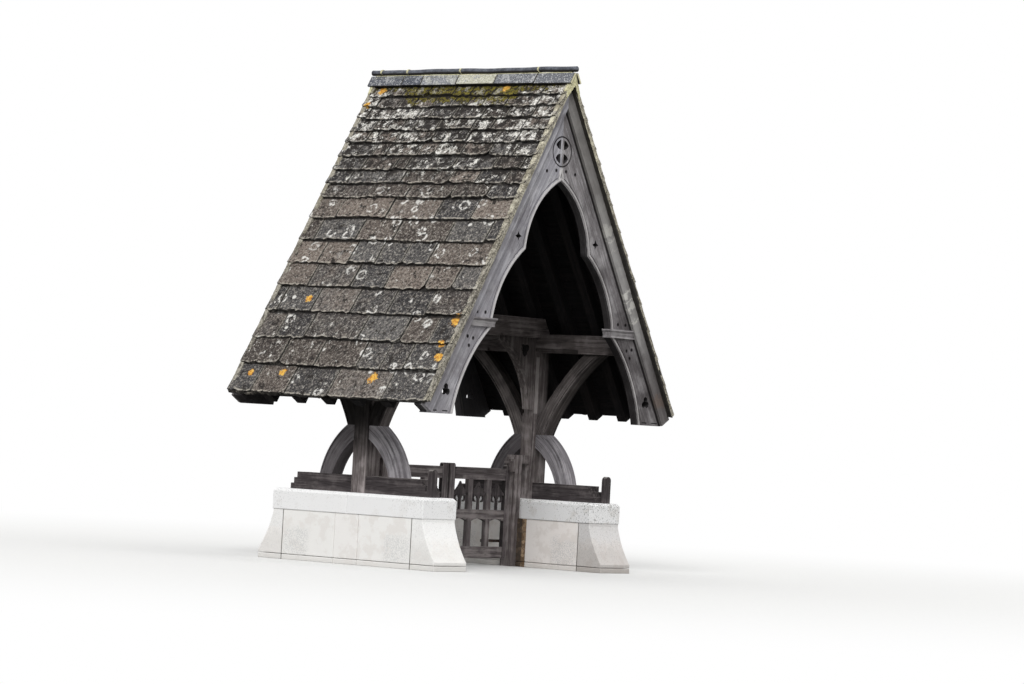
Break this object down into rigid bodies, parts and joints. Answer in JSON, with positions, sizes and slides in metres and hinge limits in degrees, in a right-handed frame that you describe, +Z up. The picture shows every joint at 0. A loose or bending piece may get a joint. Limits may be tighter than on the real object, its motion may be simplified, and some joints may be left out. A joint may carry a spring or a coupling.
{
  "type": "lychgate",
  "caption": "Timber lychgate: steep stone-slab roof on two braced side frames over low stone walls, cusped boards in both gables, and a pair of swinging gates.",
  "frame": {"origin": "on the ground, in the middle of the passage under the ridge", "axes": "+X across the passage towards the right-hand wall seen from the front gable, +Y along the ridge from the front gable to the back gable, +Z up"},
  "size_m": [4.7288, 3.138, 5.9399],
  "materials": {
    "roof_slabs": "rough split stone",
    "ridge_stone": "weathered dressed stone",
    "ridge_lead": "dull sheet lead",
    "wall_stone": "dressed sandstone blocks",
    "coping_stone": "weathered limestone with lichen",
    "gable_oak": "silvered weathered oak",
    "frame_oak": "dark weathered oak",
    "sill_oak": "almost black damp oak",
    "gate_oak": "grey weathered oak",
    "iron": "wrought iron, black and worn"
  },
  "bodies": {
    "root": {"arch_board_back_left": "gable_oak", "arch_board_back_right": "gable_oak", "arch_board_front_left": "gable_oak", "arch_board_front_right": "gable_oak", "capital_back_left": "gable_oak", "capital_back_right": "gable_oak", "capital_front_left": "gable_oak", "capital_front_right": "gable_oak", "coping_left": "coping_stone", "coping_right": "coping_stone", "end_stubs": "sill_oak", "gate_post_left": "gate_oak", "gate_post_right": "gate_oak", "hinge_pins_left": "iron", "hinge_pins_right": "iron", "knee_bracket_left": "frame_oak", "knee_bracket_right": "frame_oak", "low_wall_left": "wall_stone", "low_wall_right": "wall_stone", "lower_braces_left": "frame_oak", "lower_braces_right": "frame_oak", "post_left": "frame_oak", "post_right": "frame_oak", "rafters_left": "frame_oak", "rafters_right": "frame_oak", "ridge_board": "frame_oak", "ridge_roll": "ridge_lead", "ridge_wing_left": "ridge_stone", "ridge_wing_right": "ridge_stone", "roof_boarding_left": "frame_oak", "roof_boarding_right": "frame_oak", "sills_left": "sill_oak", "sills_right": "sill_oak", "slab_roof_left": "roof_slabs", "slab_roof_right": "roof_slabs", "tie_beam": "frame_oak", "upper_braces_left": "frame_oak", "upper_braces_right": "frame_oak", "verge_board_back_left": "gable_oak", "verge_board_back_right": "gable_oak", "verge_board_front_left": "gable_oak", "verge_board_front_right": "gable_oak", "wall_plate_left": "frame_oak", "wall_plate_right": "frame_oak"},
    "gate_left": {"gate_frame_left": "gate_oak", "gate_hinges_left": "iron", "gate_tracery_left": "gate_oak"},
    "gate_right": {"gate_frame_right": "gate_oak", "gate_hinges_right": "iron", "gate_tracery_right": "gate_oak"}
  },
  "joints": [
    {"name": "gate_left_hinge", "type": "hinge", "parent": "root", "child": "gate_left", "pos_m": [-1.157, 0.1, 0.7], "axis": [0, 0, 1], "range_deg": [0, 90]},
    {"name": "gate_right_hinge", "type": "hinge", "parent": "root", "child": "gate_right", "pos_m": [1.157, 0.1, 0.7], "axis": [0, 0, -1], "range_deg": [0, 90]}
  ]
}
